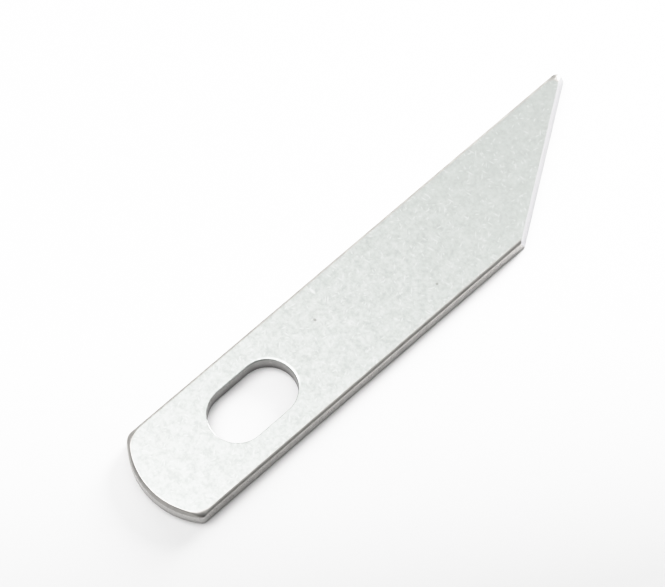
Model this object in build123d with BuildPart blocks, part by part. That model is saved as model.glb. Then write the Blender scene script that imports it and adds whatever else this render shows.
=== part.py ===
from build123d import *
import math
import os

# Lower knife of an overlock (serger) sewing machine.
# One flat piece of hardened tool steel: a blanked strip with a clamp slot near
# its rounded end and a slanted, ground cutting end.
#
# Frame: millimetres, +Z up. The origin is the centre of the clamp slot on the
# bearing (lower) face. +Y runs along the blade towards the cutting point, +X
# towards the short side edge, +Z out of the face that the clamp screw presses.

# ---- driving dimensions -------------------------------------------------
width = 9.0             # across the two long side edges
thickness = 1.5         # strip thickness
slot_width = 4.8        # clears the clamp screw's shank
slot_length = 7.8       # end to end, gives the height adjustment
slot_offset = 0.05      # slot centre from the strip's centre line, towards +X
end_radius = 6.6        # radius of the rounded clamp end
end_centre_x = 0.07     # where that radius is struck from
end_centre_y = -4.1
heel_y = 24.6           # cutting edge meets the short side edge here
point_y = 37.9          # and would meet the long side edge here
point_foot_radius = 0.38    # plan radius that blunts the point on the bearing face,
point_wall_radius = 0.53    # where the die roll starts,
point_top_radius = 0.65     # and on the upper face
bevel_inset = 0.30      # how far the ground face leans in over the thickness

roll_depth = 0.28       # die roll on the upper outline, down the side wall
roll_inset = 0.27       # and in over the upper face
roll_power = 1.45       # shape of its arc: 2 is a quarter ellipse, 1 a plain chamfer
corner_foot_radius = 0.5    # outline corner radius up to where the roll starts
corner_top_radius = 2.3     # and on the upper face, where the roll is widest
slot_break = 0.05       # broken edge around the slot, both faces
foot_break = 0.05       # broken edge around the bearing face
roll_steps = (0.0, 18.0, 36.0, 54.0, 72.0, 90.0)    # stations of the roll's arc

# ---- derived ------------------------------------------------------------
short_x = width / 2 - slot_offset                 # short side edge
long_x = -width / 2 - slot_offset                 # long side edge
cut_angle = math.atan2(width, point_y - heel_y)   # cutting edge to the long axis
wall_top = thickness - roll_depth                 # where the roll starts
# horizontal outward normal of the cutting end, and the lean of its ground face
out_x, out_y = math.cos(cut_angle), math.sin(cut_angle)
lean = math.atan2(bevel_inset, thickness)

# stations up the die roll: height, inset, corner radius, point radius
roll_stations = []
for step in roll_steps:
    turn = math.radians(step)
    rise, draw = math.sin(turn) ** (2 / roll_power), 1 - abs(math.cos(turn)) ** (2 / roll_power)
    roll_stations.append((
        wall_top + roll_depth * rise,
        roll_inset * draw,
        corner_foot_radius + (corner_top_radius - corner_foot_radius) * draw,
        point_wall_radius + (point_top_radius - point_wall_radius) * draw,
    ))


def slant_y(x):
    """Y of the blank's slanted end at this X."""
    return heel_y + (short_x - x) / math.tan(cut_angle)


def end_y(x, reach):
    """Y of the rounded end at this X, for an outline of this end radius."""
    return end_centre_y - math.sqrt(reach**2 - (x - end_centre_x) ** 2)


def around_slot(edge):
    """True for an edge of the slot's rim."""
    box = edge.bounding_box()
    return max(abs(box.min.X), abs(box.max.X)) < slot_width / 2 + 0.2 and \
        max(abs(box.min.Y), abs(box.max.Y)) < slot_length / 2 + 0.2


def outline(z, inset, corner_radius, point_radius=0.0):
    """Outline of the blank at height z, drawn in by inset, as a face."""
    right, left, reach = short_x - inset, long_x + inset, end_radius - inset
    with BuildSketch(Plane.XY.offset(z), mode=Mode.PRIVATE) as section:
        with BuildLine():
            Line((right, slant_y(right)), (right, end_y(right, reach)))
            ThreePointArc(
                (right, end_y(right, reach)),
                (end_centre_x, end_centre_y - reach),
                (left, end_y(left, reach)),
            )
            Line((left, end_y(left, reach)), (left, slant_y(left)))
            Line((left, slant_y(left)), (right, slant_y(right)))
        make_face()
        fillet(section.vertices().sort_by(Axis.Y)[0:2], corner_radius)
        if point_radius:
            fillet(section.vertices().sort_by(Axis.Y)[-1], point_radius)
    return section.sketch.face()


# ---- blade --------------------------------------------------------------
with BuildPart() as blade:
    # straight side walls of the blanked strip
    extrude(outline(0.0, 0.0, corner_foot_radius), amount=wall_top)

    # the point is blunted by a cone that widens upwards and runs smoothly into
    # the long side edge and the slanted end; each section is what lies outside
    # the arc, seen from the sharp corner
    half = cut_angle / 2
    for z, radius in ((0.0, point_foot_radius), (wall_top, point_wall_radius)):
        touch_x, touch_y = radius * math.cos(half), -radius * math.cos(half) ** 2 / math.sin(half)
        corner = Plane(
            origin=(long_x, slant_y(long_x), z),
            x_dir=(math.cos(half), math.sin(half), 0),
            z_dir=(0, 0, 1),
        )
        with BuildSketch(corner):
            with BuildLine():
                ThreePointArc(
                    (touch_x, touch_y), (0, radius - radius / math.sin(half)), (-touch_x, touch_y)
                )
                Polyline(
                    (-touch_x, touch_y), (-touch_x - 1, touch_y), (-touch_x - 1, 1),
                    (touch_x + 1, 1), (touch_x + 1, touch_y), (touch_x, touch_y),
                )
            make_face()
    loft(ruled=True, mode=Mode.SUBTRACT)

    # die roll: the outline draws in over a flattened quarter arc, and further in
    # at the corners of the clamp end
    loft([outline(*station) for station in roll_stations])

    # clamp slot, right through
    with BuildSketch(Plane.XY) as slot:
        SlotOverall(slot_length, slot_width, rotation=90)
    extrude(amount=thickness, mode=Mode.SUBTRACT)

    # ground cutting end: one flat face through the cutting edge on the bearing
    # face, leaning back over the thickness
    ground = Plane(
        origin=(short_x, heel_y, 0),
        x_dir=(-out_y, out_x, 0),
        z_dir=(out_x * math.cos(lean), out_y * math.cos(lean), math.sin(lean)),
    )
    split(bisect_by=ground, keep=Keep.BOTTOM)

    # broken edges: all round the slot on both faces, and round the bearing face
    # except along the cutting edge, which stays sharp
    slot_rims = (blade.edges().group_by(Axis.Z)[0] + blade.edges().group_by(Axis.Z)[-1]).filter_by(around_slot)
    fillet(slot_rims, slot_break)
    foot_rim = blade.edges().group_by(Axis.Z)[0].filter_by(
        lambda e: not around_slot(e)
        and abs((e @ 0.5 - ground.origin).dot(Vector(out_x, out_y, 0))) > 0.02
    )
    print("slot rim edges", len(slot_rims), "foot rim edges", len(foot_rim))
    fillet(foot_rim, foot_break)

blade.part.label = "blade"
blade.part.color = Color(0.72, 0.73, 0.74)

os.makedirs("parts", exist_ok=True)
export_step(blade.part, "parts/blade.step")
print("blade volume mm3", round(blade.part.volume, 3), "valid", blade.part.is_valid)
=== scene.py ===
import bpy
import math
from mathutils import Matrix, Vector


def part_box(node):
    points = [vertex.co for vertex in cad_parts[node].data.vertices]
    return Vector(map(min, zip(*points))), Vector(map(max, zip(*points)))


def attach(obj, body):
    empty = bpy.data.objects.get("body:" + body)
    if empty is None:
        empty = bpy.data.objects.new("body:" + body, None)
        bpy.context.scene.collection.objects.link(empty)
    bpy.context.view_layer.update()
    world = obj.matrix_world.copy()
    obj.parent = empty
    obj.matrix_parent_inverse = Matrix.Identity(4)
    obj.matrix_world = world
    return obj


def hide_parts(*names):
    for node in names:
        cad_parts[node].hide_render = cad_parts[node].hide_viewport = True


# Lower knife of an overlock machine, in metres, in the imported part's frame:
# origin at the centre of the clamp slot on the bearing face, +Y to the cutting
# point, +X to the short side edge, +Z out of the upper face.
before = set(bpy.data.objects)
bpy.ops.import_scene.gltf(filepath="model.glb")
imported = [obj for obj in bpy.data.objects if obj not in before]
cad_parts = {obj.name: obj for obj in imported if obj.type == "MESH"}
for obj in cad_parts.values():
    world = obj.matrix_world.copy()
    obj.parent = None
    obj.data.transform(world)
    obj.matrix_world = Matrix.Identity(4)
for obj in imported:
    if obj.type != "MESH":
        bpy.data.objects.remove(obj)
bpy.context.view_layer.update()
lo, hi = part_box("blade")
MM = 0.001

# ---- the blade's dimensions in mm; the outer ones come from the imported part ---
short_x, long_x = hi.x / MM, lo.x / MM
thick = hi.z / MM
end_radius, end_cx = 6.6, 0.07
end_cy = lo.y / MM + end_radius
heel_y = 24.6
cut_angle = math.atan2(short_x - long_x, 13.3)
out_x, out_y = math.cos(cut_angle), math.sin(cut_angle)
bevel_inset = 0.30
point_foot, point_wall, point_top = 0.38, 0.53, 0.65
roll_depth, roll_inset, roll_power = 0.28, 0.27, 1.45
corner_foot, corner_top = 0.5, 2.3
corner_long = 0.6                       # the long side's corner is blunter by this under the roll
foot_break, slot_break = 0.05, 0.05
rim_draw, rim_deep = 0.24, 0.10         # the slot's upper rim rolls over widest on the side the punch leaned to
rim_draw_min, rim_deep_min = 0.06, 0.04 # and is only broken on the other side
rim_az = 120.0                          # azimuth of the widest side, degrees
slot_r, slot_pitch = 2.4, 1.5

# ---------------------------------------------------------------------------
# Mesh
# ---------------------------------------------------------------------------
N_RIGHT, N_CORNER, N_END, N_LEFT, N_TIP, N_CUT = 56, 18, 64, 72, 14, 40


def lerp(a, b, t):
    return a + (b - a) * t


def arc(cx, cy, r, a0, a1, n):
    return [(cx + r * math.cos(lerp(a0, a1, i / n)), cy + r * math.sin(lerp(a0, a1, i / n))) for i in range(n)]


def outline(z, inset, corner, point, draw=0.0):
    """Closed plan outline at height z: heel, short side, round the clamp end, long side, point, cutting end.
    inset is the die roll's, corner and point are the radii of the clamp end's two corners and of the
    point, and draw pulls the whole outline in evenly except along the cutting end.
    Returns (points, index of each segment's first point)."""
    right, left = short_x - inset - draw, long_x + inset + draw
    reach = end_radius - inset - draw
    rc = corner - draw
    rl = rc + corner_long * (corner_top - corner) / (corner_top - corner_foot)
    rt = point - draw
    cut = -bevel_inset * z / thick          # the cutting end's distance from the heel, along its outward normal

    def cut_y(x):
        return heel_y + (cut - out_x * (x - short_x)) / out_y

    def corner_centre(x, r):
        return x, end_cy - math.sqrt((reach - r) ** 2 - (x - end_cx) ** 2)

    rx, ry = corner_centre(right - rc, rc)
    lx, ly = corner_centre(left + rl, rl)
    ra = math.atan2(ry - end_cy, rx - end_cx)
    la = math.atan2(ly - end_cy, lx - end_cx)
    # tip: circle tangent to the long side and to the blank's slanted end
    tx = left + rt
    ty = heel_y + (-rt - draw - out_x * (tx - short_x)) / out_y
    reach_cos = (cut + rt + draw) / rt
    phi = cut_angle_normal + math.acos(max(-1.0, min(1.0, reach_cos)))
    pts, marks = [], []

    def seg(new):
        marks.append(len(pts))
        pts.extend(new)

    h = (right, cut_y(right))
    seg([(right, lerp(h[1], ry, i / N_RIGHT)) for i in range(N_RIGHT)])
    seg(arc(rx, ry, rc, 0.0, ra, N_CORNER))
    seg(arc(end_cx, end_cy, reach, ra, la, N_END))
    seg(arc(lx, ly, rl, la, -math.pi, N_CORNER))
    seg([(left, lerp(ly, ty, i / N_LEFT)) for i in range(N_LEFT)])
    seg(arc(tx, ty, rt, math.pi, phi, N_TIP))
    a = (tx + rt * math.cos(phi), ty + rt * math.sin(phi))
    seg([(lerp(a[0], h[0], i / N_CUT), lerp(a[1], h[1], i / N_CUT)) for i in range(N_CUT)])
    return pts, marks


cut_angle_normal = math.atan2(out_y, out_x)


def racetrack(r, n_arc=48, n_side=16):
    pts = []
    for i in range(n_arc):
        a = math.pi * i / n_arc
        pts.append((r * math.cos(a), slot_pitch + r * math.sin(a)))
    for i in range(n_side):
        pts.append((-r, lerp(slot_pitch, -slot_pitch, i / n_side)))
    for i in range(n_arc):
        a = math.pi + math.pi * i / n_arc
        pts.append((r * math.cos(a), -slot_pitch + r * math.sin(a)))
    for i in range(n_side):
        pts.append((r, lerp(-slot_pitch, slot_pitch, i / n_side)))
    return pts


verts, faces, face_mat, sharp = [], [], [], set()
FACE, WALL, GROUND, BORE = 0, 1, 2, 3


def add_ring(pts, z):
    base = len(verts)
    verts.extend((x * MM, y * MM, z * MM) for x, y in pts)
    return list(range(base, base + len(pts)))


def bridge(a, b, mat_of, flip=False):
    """Quads between two rings of the same length; a lies below b when the walls face out."""
    n = len(a)
    for i in range(n):
        j = (i + 1) % n
        q = (a[i], a[j], b[j], b[i])
        faces.append(q if not flip else q[::-1])
        face_mat.append(mat_of(i))


# outer levels: (z, roll inset, corner radius, point radius, extra draw)
wall_top = thick - roll_depth


def point_at(z):
    return lerp(point_foot, point_wall, z / wall_top)


levels = []
for k in range(5):                                   # broken foot edge, a quarter round
    t = math.pi / 2 * k / 4
    z = foot_break * (1 - math.cos(t))
    levels.append((z, 0.0, corner_foot, point_at(z), foot_break * (1 - math.sin(t))))
for k in range(1, 11):                               # straight wall
    z = lerp(foot_break, wall_top, k / 10)
    levels.append((z, 0.0, corner_foot, point_at(z), 0.0))
ROLL = 20
for k in range(1, ROLL + 1):                         # die roll
    t = math.pi / 2 * k / ROLL
    u = 1 - max(math.cos(t), 0.0) ** (2 / roll_power) if k < ROLL else 1.0
    rise = math.sin(t) ** (2 / roll_power)
    levels.append((wall_top + roll_depth * rise, roll_inset * u, lerp(corner_foot, corner_top, u), lerp(point_wall, point_top, u), 0.0))

rings = []
for z, inset, corner, point, draw in levels:
    pts, marks = outline(z, inset, corner, point, draw)
    rings.append(add_ring(pts, z))
n = len(rings[0])
cut_start, tip_start = marks[6], marks[5]


def outer_mat(i):
    return GROUND if i >= cut_start else WALL


for a, b in zip(rings, rings[1:]):
    bridge(a, b, outer_mat, flip=True)
    sharp.add((a[0], b[0]))                            # heel: side wall to ground face
    sharp.add((a[cut_start], b[cut_start]))            # tip: blunted end to ground face
for r in (rings[0], rings[-1]):                        # cutting edge and the ground face's upper border
    for i in range(cut_start, n):
        sharp.add((r[i], r[(i + 1) % n]))

# slot: broken rims on both faces and a straight bore
slot_base = racetrack(slot_r)
slot_out = [(q[0] - p[0], q[1] - p[1]) for p, q in zip(slot_base, racetrack(slot_r + 1.0))]   # outward normals
slot_lean = [max(0.0, min(1.0, (nx * math.cos(math.radians(rim_az)) + ny * math.sin(math.radians(rim_az)) - 0.17) / 0.4)) for nx, ny in slot_out]
slot_lean = [w * w * (3 - 2 * w) for w in slot_lean]
slot_draw = [lerp(rim_draw_min, rim_draw, w) for w in slot_lean]
slot_deep = [lerp(rim_deep_min, rim_deep, w) for w in slot_lean]


def slot_ring(out_by, z_of):
    """A ring of the slot moved out by out_by(i), at the height z_of(i)."""
    base = len(verts)
    for i, ((x, y), (nx, ny)) in enumerate(zip(slot_base, slot_out)):
        verts.append(((x + nx * out_by(i)) * MM, (y + ny * out_by(i)) * MM, z_of(i) * MM))
    return list(range(base, base + len(slot_base)))


slot_rings, slot_mats = [], []
for k in range(5):
    t = math.pi / 2 * k / 4
    slot_rings.append(slot_ring(lambda i: slot_break * (1 - math.sin(t)), lambda i: slot_break * (1 - math.cos(t))))
    slot_mats.append(BORE)
for k in range(1, 8):
    slot_rings.append(slot_ring(lambda i: 0.0, lambda i: lerp(slot_break, thick - slot_deep[i], k / 8)))
    slot_mats.append(BORE)
for k in range(13):
    t = math.pi / 2 * k / 12
    slot_rings.append(slot_ring(lambda i: slot_draw[i] * (1 - math.cos(t)), lambda i: thick - slot_deep[i] * (1 - math.sin(t))))
    slot_mats.append(FACE)
for k, (a, b) in enumerate(zip(slot_rings, slot_rings[1:])):
    bridge(a, b, lambda i, k=k: slot_mats[k], flip=True)

# narrow flat borders on both faces, so that the rounded edges' shading ends where they do
EDGE = 0.04
top_pts, _ = outline(thick, roll_inset, corner_top, point_top)
bot_pts, _ = outline(0.0, 0.0, corner_foot, point_foot, foot_break)


def shrink(pts, by):
    """The outline moved in by that much, with mitred corners."""
    out = []
    m = len(pts)
    area = sum(pts[i][0] * pts[(i + 1) % m][1] - pts[(i + 1) % m][0] * pts[i][1] for i in range(m))
    s = 1.0 if area > 0 else -1.0
    for i in range(m):
        (ax, ay), (bx, by_), (cx, cy) = pts[i - 1], pts[i], pts[(i + 1) % m]
        d1 = Vector((bx - ax, by_ - ay)).normalized()
        d2 = Vector((cx - bx, cy - by_)).normalized()
        n1, n2 = Vector((-d1.y, d1.x)) * s, Vector((-d2.y, d2.x)) * s
        m_ = (n1 + n2).normalized()
        out.append((bx + m_.x * by / max(m_.dot(n1), 0.3), by_ + m_.y * by / max(m_.dot(n1), 0.3)))
    return out


top_in = add_ring(shrink(top_pts, EDGE), thick)
bot_in = add_ring(shrink(bot_pts, EDGE), 0.0)
slot_top_in = slot_ring(lambda i: slot_draw[i] + EDGE, lambda i: thick)
slot_bot_in = add_ring(racetrack(slot_r + slot_break + EDGE), 0.0)
bridge(rings[-1], top_in, lambda i: FACE, flip=True)
bridge(bot_in, rings[0], lambda i: FACE, flip=True)
bridge(slot_rings[-1], slot_top_in, lambda i: FACE, flip=True)
bridge(slot_bot_in, slot_rings[0], lambda i: FACE, flip=True)

mesh = bpy.data.meshes.new("blade_detail")
mesh.from_pydata(verts, [], faces)
mesh.update()
for p, m in zip(mesh.polygons, face_mat):
    p.material_index = m

# the two flat faces: each a filled outline with the slot left open
import bmesh
bm = bmesh.new()
bm.from_mesh(mesh)
bm.verts.ensure_lookup_table()


def fill(outer, inner, up):
    edges = []
    for ring in (outer, inner):
        for i in range(len(ring)):
            edges.append(bm.edges.get((bm.verts[ring[i]], bm.verts[ring[(i + 1) % len(ring)]])))
    made = bmesh.ops.triangle_fill(bm, use_beauty=True, use_dissolve=False, edges=edges)
    for f in made["geom"]:
        if isinstance(f, bmesh.types.BMFace):
            f.material_index = FACE
            f.normal_update()
            if (f.normal.z > 0) != up:
                f.normal_flip()


fill(top_in, slot_top_in, True)
fill(bot_in, slot_bot_in, False)
bmesh.ops.recalc_face_normals(bm, faces=bm.faces)
for f in bm.faces:
    f.smooth = True
for i, j in sharp:
    e = bm.edges.get((bm.verts[i], bm.verts[j]))
    if e:
        e.smooth = False
bm.to_mesh(mesh)
bm.free()
mesh.update()

blade = bpy.data.objects.new("blade_detail", mesh)
bpy.context.scene.collection.objects.link(blade)


# ---------------------------------------------------------------------------
# Materials
# ---------------------------------------------------------------------------
def material(name):
    m = bpy.data.materials.new(name)
    m.use_nodes = True
    nt = m.node_tree
    nt.nodes.clear()
    out = nt.nodes.new("ShaderNodeOutputMaterial")
    bsdf = nt.nodes.new("ShaderNodeBsdfPrincipled")
    nt.links.new(bsdf.outputs[0], out.inputs[0])
    return m, nt, bsdf


class Nodes:
    """Short hands for building a node tree."""

    def __init__(self, nt):
        self.nt = nt
        tc = nt.nodes.new("ShaderNodeTexCoord")
        self.mm = self.vmath("SCALE", tc.outputs["Object"], scale=1000.0)     # object coordinates in mm

    def put(self, socket, value):
        if hasattr(value, "is_linked") or isinstance(value, bpy.types.NodeSocket):
            self.nt.links.new(value, socket)
        else:
            socket.default_value = value

    def vmath(self, op, a, b=None, scale=None):
        n_ = self.nt.nodes.new("ShaderNodeVectorMath")
        n_.operation = op
        self.put(n_.inputs[0], a)
        if b is not None:
            self.put(n_.inputs[1], b)
        if scale is not None:
            n_.inputs["Scale"].default_value = scale
        return n_.outputs["Value"] if op in ("LENGTH", "DOT_PRODUCT", "DISTANCE") else n_.outputs[0]

    def math(self, op, a, b=0.0, clamp=False):
        n_ = self.nt.nodes.new("ShaderNodeMath")
        n_.operation = op
        n_.use_clamp = clamp
        self.put(n_.inputs[0], a)
        self.put(n_.inputs[1], b)
        return n_.outputs[0]

    def ramp(self, x, x0, x1, y0, y1, smooth=False):
        n_ = self.nt.nodes.new("ShaderNodeMapRange")
        n_.interpolation_type = "SMOOTHSTEP" if smooth else "LINEAR"
        self.put(n_.inputs["Value"], x)
        for k, v in (("From Min", x0), ("From Max", x1), ("To Min", y0), ("To Max", y1)):
            n_.inputs[k].default_value = v
        return n_.outputs["Result"]

    def mapped(self, rot=0.0, scale=(1, 1, 1), shift=(0, 0, 0)):
        """Coordinates turned by rot about Z first, then stretched along the turned axes."""
        n_ = self.nt.nodes.new("ShaderNodeMapping")
        n_.vector_type = "TEXTURE"
        self.put(n_.inputs["Vector"], self.mm)
        n_.inputs["Rotation"].default_value = (0, 0, rot)
        n_.inputs["Scale"].default_value = [1.0 / k for k in scale]
        n_.inputs["Location"].default_value = shift
        return n_.outputs[0]

    def noise(self, vec, scale, detail=2.0, rough=0.5, lac=2.0):
        n_ = self.nt.nodes.new("ShaderNodeTexNoise")
        self.put(n_.inputs["Vector"], vec)
        n_.inputs["Scale"].default_value = scale
        n_.inputs["Detail"].default_value = detail
        n_.inputs["Roughness"].default_value = rough
        n_.inputs["Lacunarity"].default_value = lac
        return n_.outputs[0]

    def voronoi(self, vec, scale, randomness=1.0):
        n_ = self.nt.nodes.new("ShaderNodeTexVoronoi")
        self.put(n_.inputs["Vector"], vec)
        n_.inputs["Scale"].default_value = scale
        n_.inputs["Randomness"].default_value = randomness
        return n_.outputs["Distance"], n_.outputs["Color"]

    def mix(self, fac, a, b):
        n_ = self.nt.nodes.new("ShaderNodeMix")
        n_.data_type = "RGBA"
        self.put(n_.inputs[0], fac)
        self.put(n_.inputs[6], a)
        self.put(n_.inputs[7], b)
        return n_.outputs[2]

    def bump(self, height, distance, strength=1.0, normal=None):
        n_ = self.nt.nodes.new("ShaderNodeBump")
        n_.inputs["Distance"].default_value = distance
        n_.inputs["Strength"].default_value = strength
        self.put(n_.inputs["Height"], height)
        if normal is not None:
            self.put(n_.inputs["Normal"], normal)
        return n_.outputs[0]


def cell_marks(g, nt, rot, stretch, shift, keep_above, near, far):
    """Sparse separate marks: a few cells of a stretched cell pattern, each falling off from its own centre."""
    d, c = g.voronoi(g.mapped(rot, stretch, shift), 1.0)
    sep = nt.nodes.new("ShaderNodeSeparateColor")
    nt.links.new(c, sep.inputs[0])
    return g.math("MULTIPLY", g.ramp(d, near, far, 1.0, 0.0, True), g.math("GREATER_THAN", sep.outputs[0], keep_above))


def face_steel():
    """Hardened steel tumbled to a fine satin: mottle, pits, flecks and short scuffs lying every way, the flecks and
    scuffs painted lighter as painted glints, and a painted highlight towards the clamp end.
    """
    m, nt, bsdf = material("steel_tumbled")
    g = Nodes(nt)
    bsdf.inputs["Metallic"].default_value = 1.0
    fine = g.noise(g.mm, 3.4, 4.0, 0.62)
    mottle = g.noise(g.mm, 1.25, 3.0, 0.55)
    tone = g.math("ADD", g.math("MULTIPLY", fine, 0.55), g.math("MULTIPLY", mottle, 0.45))
    # the mottle is stronger towards the clamp end, and a painted highlight makes the colour a little brighter there
    # and darker towards the point, where the key light's reflection falls off
    sep = nt.nodes.new("ShaderNodeSeparateXYZ")
    nt.links.new(g.mm, sep.inputs[0])
    y = sep.outputs[1]
    mottle_and_painted_sheen = g.math("MULTIPLY", g.math("SUBTRACT", tone, 0.5), g.ramp(y, -8.0, 26.0, 1.8, 0.58))
    mottle_and_painted_sheen = g.math("ADD", mottle_and_painted_sheen, g.ramp(y, -4.0, 14.0, 0.02, -0.015))
    colour = g.mix(g.ramp(mottle_and_painted_sheen, -0.14, 0.14, 0.0, 1.0), FACE_LOW, FACE_HIGH)
    # short soft scuffs, 0.3 to 0.8 mm long, at six angles and two sizes
    scuffs = None
    for rot, stretch, shift, keep in (
        (0.25, (1.1, 5.0, 0.3), (3, 7, 0), 0.93), (1.35, (1.3, 5.5, 0.3), (11, 2, 0), 0.93), (2.35, (1.0, 5.0, 0.3), (5, 13, 0), 0.94),
        (0.85, (1.8, 6.0, 0.3), (17, 5, 0), 0.90), (1.95, (1.7, 6.0, 0.3), (23, 9, 0), 0.90), (2.85, (1.9, 6.0, 0.3), (29, 3, 0), 0.90),
    ):
        line = cell_marks(g, nt, rot, stretch, shift, keep, 0.05, 0.42)
        scuffs = line if scuffs is None else g.math("MAXIMUM", scuffs, line)
    # one longer dash and one deeper pit, short of halfway along
    dash = g.ramp(g.vmath("LENGTH", g.mapped(DASH_TURN, (1 / 0.45, 1 / 0.15, 0.01), (DASH[0], DASH[1], 0.0))), 0.2, 1.0, 1.0, 0.0, True)
    dent = g.ramp(g.vmath("LENGTH", g.mapped(0.0, (1 / 0.2, 1 / 0.16, 0.01), (DENT[0], DENT[1], 0.0))), 0.3, 1.0, 0.9, 0.0, True)
    painted_glint_specks = cell_marks(g, nt, 0.0, (2.3, 2.3, 2.3), (1, 4, 0), 0.80, 0.05, 0.26)
    pits = cell_marks(g, nt, 0.0, (0.55, 0.55, 0.55), (8, 21, 0), 0.93, 0.03, 0.09)
    # painted glints: the scuffs and flecks are real marks, painted in a lighter colour for the overhead light they
    # catch, and they fade towards the point
    marks = g.math("MAXIMUM", scuffs, g.math("MULTIPLY", painted_glint_specks, 0.9))
    colour = g.mix(g.math("MULTIPLY", marks, g.ramp(y, -8.0, 26.0, 0.85, 0.66)), colour, FACE_MARK_GLINT)
    colour = g.mix(dash, colour, (0.54, 0.555, 0.545, 1))
    g.put(bsdf.inputs["Base Color"], g.mix(g.math("MAXIMUM", pits, dent), colour, (0.25, 0.25, 0.24, 1)))
    g.put(bsdf.inputs["Roughness"], g.ramp(fine, 0.3, 0.7, FACE_ROUGH[0], FACE_ROUGH[1]))
    height = g.math("ADD", g.noise(g.mm, 2.6, 2.0, 0.5), g.math("MULTIPLY", marks, -0.3))
    g.put(bsdf.inputs["Normal"], g.bump(height, FACE_BUMP))
    return m


FACE_LOW, FACE_HIGH, FACE_MARK_GLINT = (0.350, 0.3635, 0.351, 1), (0.444, 0.459, 0.446, 1), (0.515, 0.53, 0.52, 1)
DASH, DASH_TURN, DENT = (-3.66, 9.55), 0.03, (-1.72, 8.05)      # mm
FACE_ROUGH = (0.35, 0.38)
FACE_BUMP = 0.0000015


def sheared(name, smooth_low, smooth_high, lower_band_painted_shade, z0, z1, stretch, bump, end_painted_light=None):
    """Blanked or punched wall: a burnished band over a darker lower band, warm, with lines down the shear. The lower
    band's darker colour is painted shade, the contact shadow that the foot of the wall mirrors; on the blanked outer
    wall it is also the rough fracture zone of the shear.
    """
    m, nt, bsdf = material(name)
    g = Nodes(nt)
    bsdf.inputs["Metallic"].default_value = 1.0
    lines = g.noise(g.mapped(0, stretch), 1.0, 3.0, 0.6)
    along = g.noise(g.mapped(0, (0.8, 0.8, 0.3), (4, 9, 0)), 1.0, 3.0, 0.6)
    blotch = g.noise(g.mapped(0, (2.2, 2.2, 1.6), (7, 3, 5)), 1.0, 3.0, 0.6)
    sep = nt.nodes.new("ShaderNodeSeparateXYZ")
    nt.links.new(g.mm, sep.inputs[0])
    # the border between the bands wanders a little along the wall
    z = g.math("ADD", sep.outputs[2], g.math("MULTIPLY", g.math("ADD", lines, along), 0.22))
    band = g.ramp(z, z0 + 0.22, z1 + 0.22, 0.0, 1.0, True)
    smooth = g.mix(g.ramp(g.math("MULTIPLY", g.math("ADD", along, blotch), 0.5), 0.38, 0.62, 0.0, 1.0), smooth_low, smooth_high)
    if end_painted_light:      # painted reflection: the wall of the rounded end is painted brighter, for the lit floor that it mirrors
        end_painted_light_mask = g.math("MULTIPLY", g.ramp(sep.outputs[1], -9.5, -8.0, 1.0, 0.0), g.ramp(sep.outputs[2], 1.1, 1.24, 1.0, 0.0))
        smooth = g.mix(end_painted_light_mask, smooth, end_painted_light)
        lower_band_painted_shade = g.mix(end_painted_light_mask, lower_band_painted_shade, [0.78 * k for k in end_painted_light[:3]] + [1])
    # painted shade: the wall is painted darker towards its foot, in the lower band
    g.put(bsdf.inputs["Base Color"], g.mix(band, lower_band_painted_shade, smooth))
    rough = g.math("ADD", g.ramp(lines, 0.3, 0.7, 0.24, 0.34), g.ramp(band, 0.0, 1.0, 0.14, 0.0))
    g.put(bsdf.inputs["Roughness"], g.math("ADD", rough, g.ramp(sep.outputs[2], ROLL_FROM, ROLL_FROM + 0.12, 0.0, 0.07, True)))
    # the shear lines stop where the wall turns over into the smooth roll
    relief = g.bump(g.math("ADD", lines, g.math("MULTIPLY", blotch, 0.6)), bump)
    g.put(relief.node.inputs["Strength"], g.ramp(sep.outputs[2], ROLL_FROM, ROLL_FROM + 0.12, 1.0, 0.1, True))
    g.put(bsdf.inputs["Normal"], relief)
    return m


ROLL_FROM = 1.14     # height where the straight wall gives way to the roll, mm


def wall_steel():
    # the last colour is a painted reflection on the wall of the rounded end
    # the third colour, for the lower band, is painted shade over the fracture zone
    return sheared("steel_sheared", (0.345, 0.336, 0.323, 1), (0.41, 0.40, 0.383, 1), (0.265, 0.258, 0.249, 1), 0.12, 0.55, (6.0, 6.0, 0.5), 0.0000014, (0.53, 0.52, 0.505, 1))


def bore_steel():
    # painted shade: the punched bore's lower band is painted dark towards the foot
    return sheared("steel_punched", (0.275, 0.27, 0.262, 1), (0.32, 0.314, 0.306, 1), (0.160, 0.157, 0.152, 1), 0.05, 0.95, (7.0, 7.0, 0.4), 0.000002)


def ground_steel():
    """Ground cutting end: lines of the grinding wheel running along the edge."""
    m, nt, bsdf = material("steel_ground")
    g = Nodes(nt)
    bsdf.inputs["Metallic"].default_value = 1.0
    lines = g.noise(g.mapped(cut_angle_normal, (30.0, 0.5, 14.0)), 1.0, 3.0, 0.6)
    colour = g.mix(lines, (0.378, 0.375, 0.386, 1), (0.405, 0.401, 0.413, 1))
    g.put(bsdf.inputs["Base Color"], colour)
    g.put(bsdf.inputs["Roughness"], g.ramp(lines, 0.3, 0.7, 0.20, 0.30))
    g.put(bsdf.inputs["Normal"], g.bump(lines, 0.0000008))
    return m


for m in (face_steel(), wall_steel(), ground_steel(), bore_steel()):
    mesh.materials.append(m)

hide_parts("blade")
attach(blade, "root")

# ---------------------------------------------------------------------------
# Floor, light and camera
# ---------------------------------------------------------------------------
R_FLOOR = 4.0
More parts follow.
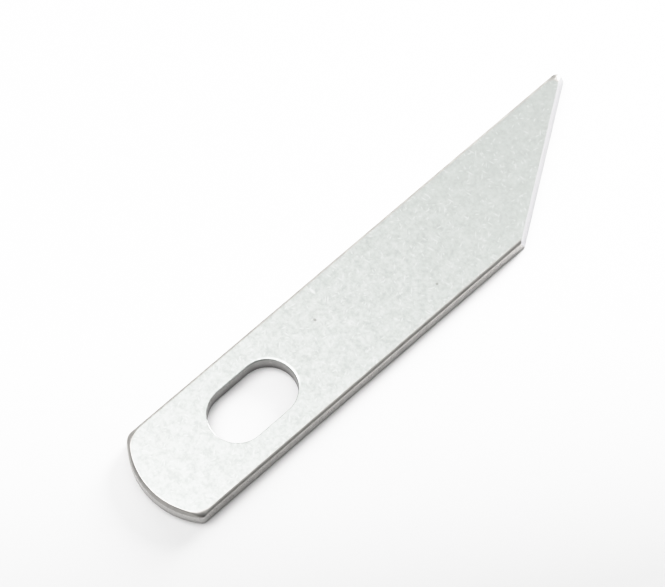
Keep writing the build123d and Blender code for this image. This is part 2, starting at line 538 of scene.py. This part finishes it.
# the painted shade on the floor runs between these two distances, mm
PAINTED_FALLOFF_FROM, PAINTED_FALLOFF_TO = -8.0, 18.0
fm = bpy.data.meshes.new("floor")
fm.from_pydata([(-R_FLOOR, -R_FLOOR, -0.00001), (R_FLOOR, -R_FLOOR, -0.00001), (R_FLOOR, R_FLOOR, -0.00001), (-R_FLOOR, R_FLOOR, -0.00001)], [], [(0, 1, 2, 3)])
floor = bpy.data.objects.new("floor", fm)
bpy.context.scene.collection.objects.link(floor)
m, nt, bsdf = material("paper")
g = Nodes(nt)
bsdf.inputs["Roughness"].default_value = 0.9
bsdf.inputs["Specular IOR Level"].default_value = 0.2
grain = g.mix(g.noise(g.mm, 0.25, 2.0, 0.5), (0.925, 0.92, 0.925, 1), (0.94, 0.938, 0.94, 1))
# painted shade: the lights' falloff is painted into the sheet, which greys off towards the front between the two
# distances above, in mm along azimuth -34
front = g.vmath("DOT_PRODUCT", g.mm, (math.cos(math.radians(-34.0)), math.sin(math.radians(-34.0)), 0.0))
g.put(bsdf.inputs["Base Color"], g.mix(g.ramp(front, PAINTED_FALLOFF_FROM, PAINTED_FALLOFF_TO, 0.0, 1.0), grain, (0.49, 0.49, 0.49, 1)))
fm.materials.append(m)

scene = bpy.context.scene
scene.view_settings.view_transform = "Standard"
scene.view_settings.look = "None"
scene.view_settings.exposure = 0.0
scene.view_settings.gamma = 1.0
# the film's soft shoulder: straight up to SHOULDER, then easing off towards white
SHOULDER = 0.70
scene.view_settings.use_curve_mapping = True
film = scene.view_settings.curve_mapping
film.clip_max_x, film.clip_max_y = 4.0, 1.0
film.extend = "EXTRAPOLATED"
curve = film.curves[3]
curve.points[1].location = (4.0, 1.0)
for light_in in (0.35, 0.70, 0.78, 0.86, 0.95, 1.05, 1.18, 1.35, 1.6, 2.0, 2.6):
    over = max(light_in - SHOULDER, 0.0) / (1.0 - SHOULDER)
    point = curve.points.new(light_in, min(light_in, SHOULDER) + (1.0 - SHOULDER) * (1.0 - math.exp(-over)))
    point.handle_type = "AUTO_CLAMPED"
film.update()

world = bpy.data.worlds.new("room")
scene.world = world
world.use_nodes = True
world.node_tree.nodes["Background"].inputs[0].default_value = (1.0, 1.0, 1.0, 1)
world.node_tree.nodes["Background"].inputs[1].default_value = 0.02


def softbox(name, az, el, dist, across, radiance, colour=(1, 1, 1), aim=(0, 0.013, 0)):
    """A round soft light of that radiance and angle across, seen from the blade at azimuth az (0 is +X, 90 is +Y)
    and elevation el."""
    d = Vector((math.cos(math.radians(az)) * math.cos(math.radians(el)), math.sin(math.radians(az)) * math.cos(math.radians(el)), math.sin(math.radians(el))))
    light = bpy.data.lights.new(name, "AREA")
    light.shape = "DISK"
    light.size = 2.0 * dist * math.tan(math.radians(across / 2))
    light.energy = radiance * math.pi * light.size**2
    light.color = colour
    o = bpy.data.objects.new(name, light)
    o.location = Vector(aim) + d * dist
    o.rotation_mode = "QUATERNION"
    o.rotation_quaternion = d.to_track_quat("Z", "Y")
    scene.collection.objects.link(o)
    return o


softbox("key", 216, 67, 1.2, 44.0, 4.9)
softbox("top", 70, 78, 1.0, 20.0, 3.4)
softbox("ceiling", 130, 78, 0.9, 30.0, 0.45)
softbox("back", 101, 20, 0.25, 26.0, 27.0)
softbox("back_wide", 120, 40, 0.8, 40.0, 0.95)
softbox("back_left", 158, 23, 0.5, 26.0, 2.9)
softbox("right", 35, 47, 0.8, 54.0, 0.92)
softbox("front_left", 270, 18, 0.9, 56.0, 0.70)
softbox("left", 212, 18, 0.9, 50.0, 0.50)
softbox("left_back", 178, 15, 0.8, 26.0, 0.7)
softbox("front", 308, 22, 0.9, 40.0, 0.35, (1.0, 0.95, 0.90))

cam_data = bpy.data.cameras.new("camera")
cam = bpy.data.objects.new("camera", cam_data)
scene.collection.objects.link(cam)
cam_data.sensor_fit = "HORIZONTAL"
cam_data.sensor_width = 36.0
cam_data.lens = 3588.0 / 665.0 * 36.0
cam_data.clip_start, cam_data.clip_end = 0.01, 20.0
right = Vector((0.6783182, 0.73453371, -0.01856453))
up = Vector((-0.66486543, 0.62434552, 0.41005687))
back = Vector((0.31279128, -0.26580612, 0.911871))
cam.matrix_world = Matrix.Translation(Vector((84.25808015, -63.12444719, 254.24139587)) * MM) @ Matrix((right, up, back)).transposed().to_4x4()
scene.camera = cam
